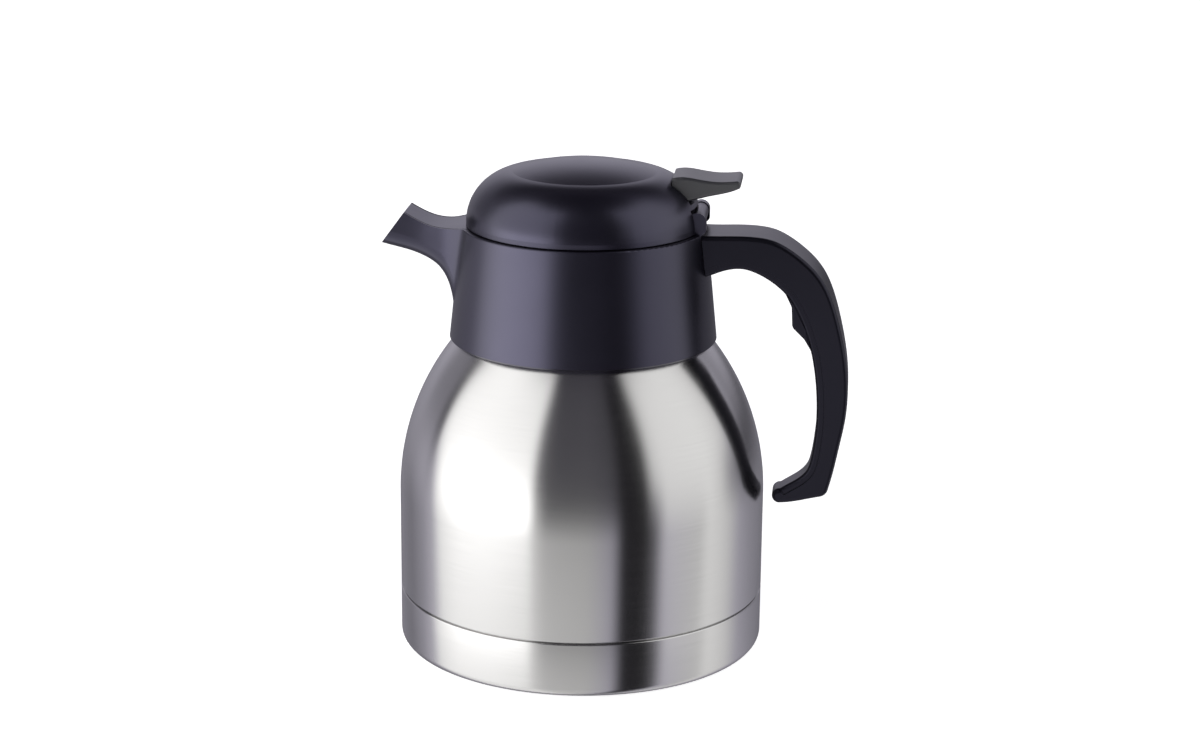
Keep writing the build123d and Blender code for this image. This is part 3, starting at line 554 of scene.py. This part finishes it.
def cup_outline(sizes):
    """Outline of the base cup: recess of the pad, rounded foot, side, rolled rim, and inside."""
    roll = sizes.rolled_edge
    top = sizes.seam_height - sizes.seam_gap
    corner = sizes.cup_corner
    play = 0.1 * MM
    inner = sizes.step_radius + play
    recess = sizes.pad_radius + play
    floor = sizes.pad_thickness + 2 * sizes.steel
    inner_corner = corner - sizes.steel
    outline = [(0.0, sizes.pad_thickness), (recess, sizes.pad_thickness), (recess, sizes.cup_low)]
    foot = (sizes.body_radius - corner, sizes.cup_low + corner)
    outline += arc(foot, corner, -90, 0, FOOT_STEPS)
    outline += arc((sizes.body_radius - roll, top - roll), roll, 0, 90, EDGE_STEPS)
    outline += [(inner, top)]
    inner_foot = (inner - inner_corner, floor + inner_corner)
    outline += arc(inner_foot, inner_corner, 0, -90, INNER_FOOT_STEPS)
    return outline + [(0.0, floor)]


def pad_outline(sizes):
    """Outline of the base pad: rounded edge, and three grooves in the face on the table."""
    edge = 0.3 * MM
    depth = 0.4 * MM
    floor_half, mouth_half = 1.0 * MM, 1.4 * MM
    groove_shares = (0.35, 0.6, 0.85)
    outline = [(0.0, 0.0)]
    for share in groove_shares:
        middle = share * sizes.pad_radius
        outline += [
            (middle - mouth_half, 0.0),
            (middle - floor_half, depth),
            (middle + floor_half, depth),
            (middle + mouth_half, 0.0),
        ]
    outline += arc((sizes.pad_radius - edge, edge), edge, -90, 0, PAD_EDGE_STEPS)
    return outline + [(sizes.pad_radius, sizes.pad_thickness), (0.0, sizes.pad_thickness)]


class CARAFE_OT_base(bpy.types.Operator):
    """Steel base cup and the pad under it"""

    bl_idname = "carafe.base"
    bl_label = "Base"

    def execute(self, context):
        sizes = context.scene.carafe_sizes
        piece = spun("steel_base_cup", cup_outline(sizes))
        dress(piece, "jug", "base_cup", MATERIALS["steel"], "base_cup")
        piece = spun("rubber_base_pad", pad_outline(sizes))
        dress(piece, "jug", "base_pad", MATERIALS["pad"], "base_pad")
        return {"FINISHED"}


class CARAFE_OT_rib(bpy.types.Operator):
    """Rib in the hollow grip that closes the view through the seam of its cover"""

    bl_idname = "carafe.rib"
    bl_label = "Handle rib"

    def execute(self, context):
        sizes = context.scene.carafe_sizes
        deselect()
        bpy.ops.mesh.primitive_cube_add(size=1, location=(sizes.rib_x, 0, sizes.rib_z))
        piece = context.object
        piece.name = "handle_rib"
        bpy.ops.transform.resize(value=(sizes.rib_depth, sizes.rib_width, sizes.rib_length))
        bpy.ops.object.transform_apply(location=True, rotation=True, scale=True)
        bpy.ops.object.mode_set(mode="EDIT")
        bpy.ops.mesh.select_all(action="SELECT")
        rounding = 0.3 * MM
        bpy.ops.mesh.bevel(offset=rounding, segments=3)
        bpy.ops.object.mode_set(mode="OBJECT")
        piece.data.materials.append(MATERIALS["handle"])
        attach(piece, "jug")
        return {"FINISHED"}


class CARAFE_OT_spring(bpy.types.Operator):
    """Valve spring: a merged, smoothed copy of the packed spring, hung on the lid"""

    bl_idname = "carafe.spring"
    bl_label = "Valve spring"

    def execute(self, context):
        deselect()
        source = frame["nodes"]["valve_spring"]
        source.select_set(True)
        context.view_layer.objects.active = source
        bpy.ops.object.duplicate()
        piece = context.object
        piece.name = "steel_valve_spring"
        bpy.ops.object.parent_clear(type="CLEAR_KEEP_TRANSFORM")
        bpy.ops.object.transform_apply(location=True, rotation=True, scale=True)
        bpy.ops.object.mode_set(mode="EDIT")
        bpy.ops.mesh.select_all(action="SELECT")
        bpy.ops.mesh.remove_doubles(threshold=SAME_POINT)
        bpy.ops.object.mode_set(mode="OBJECT")
        bpy.ops.mesh.customdata_custom_splitnormals_clear()
        bpy.ops.object.shade_smooth_by_angle(angle=radians(WIRE_SMOOTH_ANGLE))
        dress(piece, "lid", "valve_spring", MATERIALS["wire"], "valve_spring")
        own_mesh(piece)
        return {"FINISHED"}


class CARAFE_OT_finishes(bpy.types.Operator):
    """Materials, and the finishes of the carried-over nodes"""

    bl_idname = "carafe.finishes"
    bl_label = "Finishes"

    def execute(self, context):
        colours = context.scene.carafe_colours
        MATERIALS["steel"] = brushed_steel(colours.steel)
        MATERIALS["inside"] = plain_steel("electropolished_steel", colours.inside, 0.2)
        MATERIALS["wire"] = plain_steel("drawn_steel_wire", colours.inside, 0.3)
        # The photograph's black plastic has violet highlights, and a tint of the gloss gives them
        violet, faint_violet = "dedaff", "e0dcff"
        MATERIALS["plastic"] = moulded(
            "satin_black_polypropylene", colours.plastic, 0.31, 1.0, violet
        )
        MATERIALS["handle"] = moulded("satin_black_handle", colours.handle, 0.32, 0.4, faint_violet)
        MATERIALS["lever"] = moulded("dark_grey_polypropylene", colours.lever, 0.36, 1.0)
        MATERIALS["valve"] = moulded("white_acetal", colours.valve, 0.35, 0.5, ior=1.48)
        MATERIALS["seal"] = moulded("silicone_rubber", colours.seal, 0.5, 0.5, grain=0.05, ior=1.41)
        MATERIALS["pad"] = moulded("black_rubber", colours.pad, 0.7, 0.4, grain=0.2, ior=1.52)
        MATERIALS["foam"] = moulded("polyurethane_foam", colours.foam, 0.85, 0.3, grain=0.6)
        paint(MATERIALS["plastic"], *frame["nodes"])
        paint(MATERIALS["steel"], "outer_shell", "base_cup")
        paint(MATERIALS["inside"], "inner_flask", "inner_neck", "inner_flask_bottom")
        paint(MATERIALS["inside"], "shell_bottom")
        paint(MATERIALS["wire"], "lever_pin", "hinge_pin", "lid_screws", "handle_screws")
        paint(MATERIALS["wire"], "valve_spring")
        paint(MATERIALS["handle"], "handle_shell", "handle_cover")
        paint(MATERIALS["lever"], "thumb_lever")
        paint(MATERIALS["valve"], "valve_stem", "stem_head")
        paint(MATERIALS["seal"], "neck_gasket", "lid_seal", "stopper_seal", "valve_seal")
        paint(MATERIALS["pad"], "base_pad")
        paint(MATERIALS["foam"], "stopper_foam")
        return {"FINISHED"}


class CARAFE_PT_panel(bpy.types.Panel):
    """The carafe's pieces"""

    bl_label = "Carafe"
    bl_idname = "CARAFE_PT_panel"
    bl_space_type = "VIEW_3D"
    bl_region_type = "UI"
    bl_category = "Carafe"

    def draw(self, context):
        for operator in OPERATORS:
            self.layout.operator(operator.bl_idname)


OPERATORS = (
    CARAFE_OT_stage,
    CARAFE_OT_finishes,
    CARAFE_OT_bottle,
    CARAFE_OT_base,
    CARAFE_OT_rib,
    CARAFE_OT_spring,
)
CLASSES = (CarafeSizes, CarafeColours, *OPERATORS, CARAFE_PT_panel)


def register():
    """Adds the classes and the scene's properties."""
    for entry in CLASSES:
        bpy.utils.register_class(entry)
    bpy.types.Scene.carafe_sizes = bpy.props.PointerProperty(type=CarafeSizes)
    bpy.types.Scene.carafe_colours = bpy.props.PointerProperty(type=CarafeColours)


def unregister():
    """Takes away what register added."""
    del bpy.types.Scene.carafe_colours
    del bpy.types.Scene.carafe_sizes
    for entry in reversed(CLASSES):
        bpy.utils.unregister_class(entry)


def main():
    """Dresses the carafe."""
    register()
    bpy.ops.carafe.stage()
    bpy.ops.carafe.finishes()
    bpy.ops.carafe.bottle()
    bpy.ops.carafe.base()
    bpy.ops.carafe.rib()
    bpy.ops.carafe.spring()


if __name__ == "__main__":
    main()
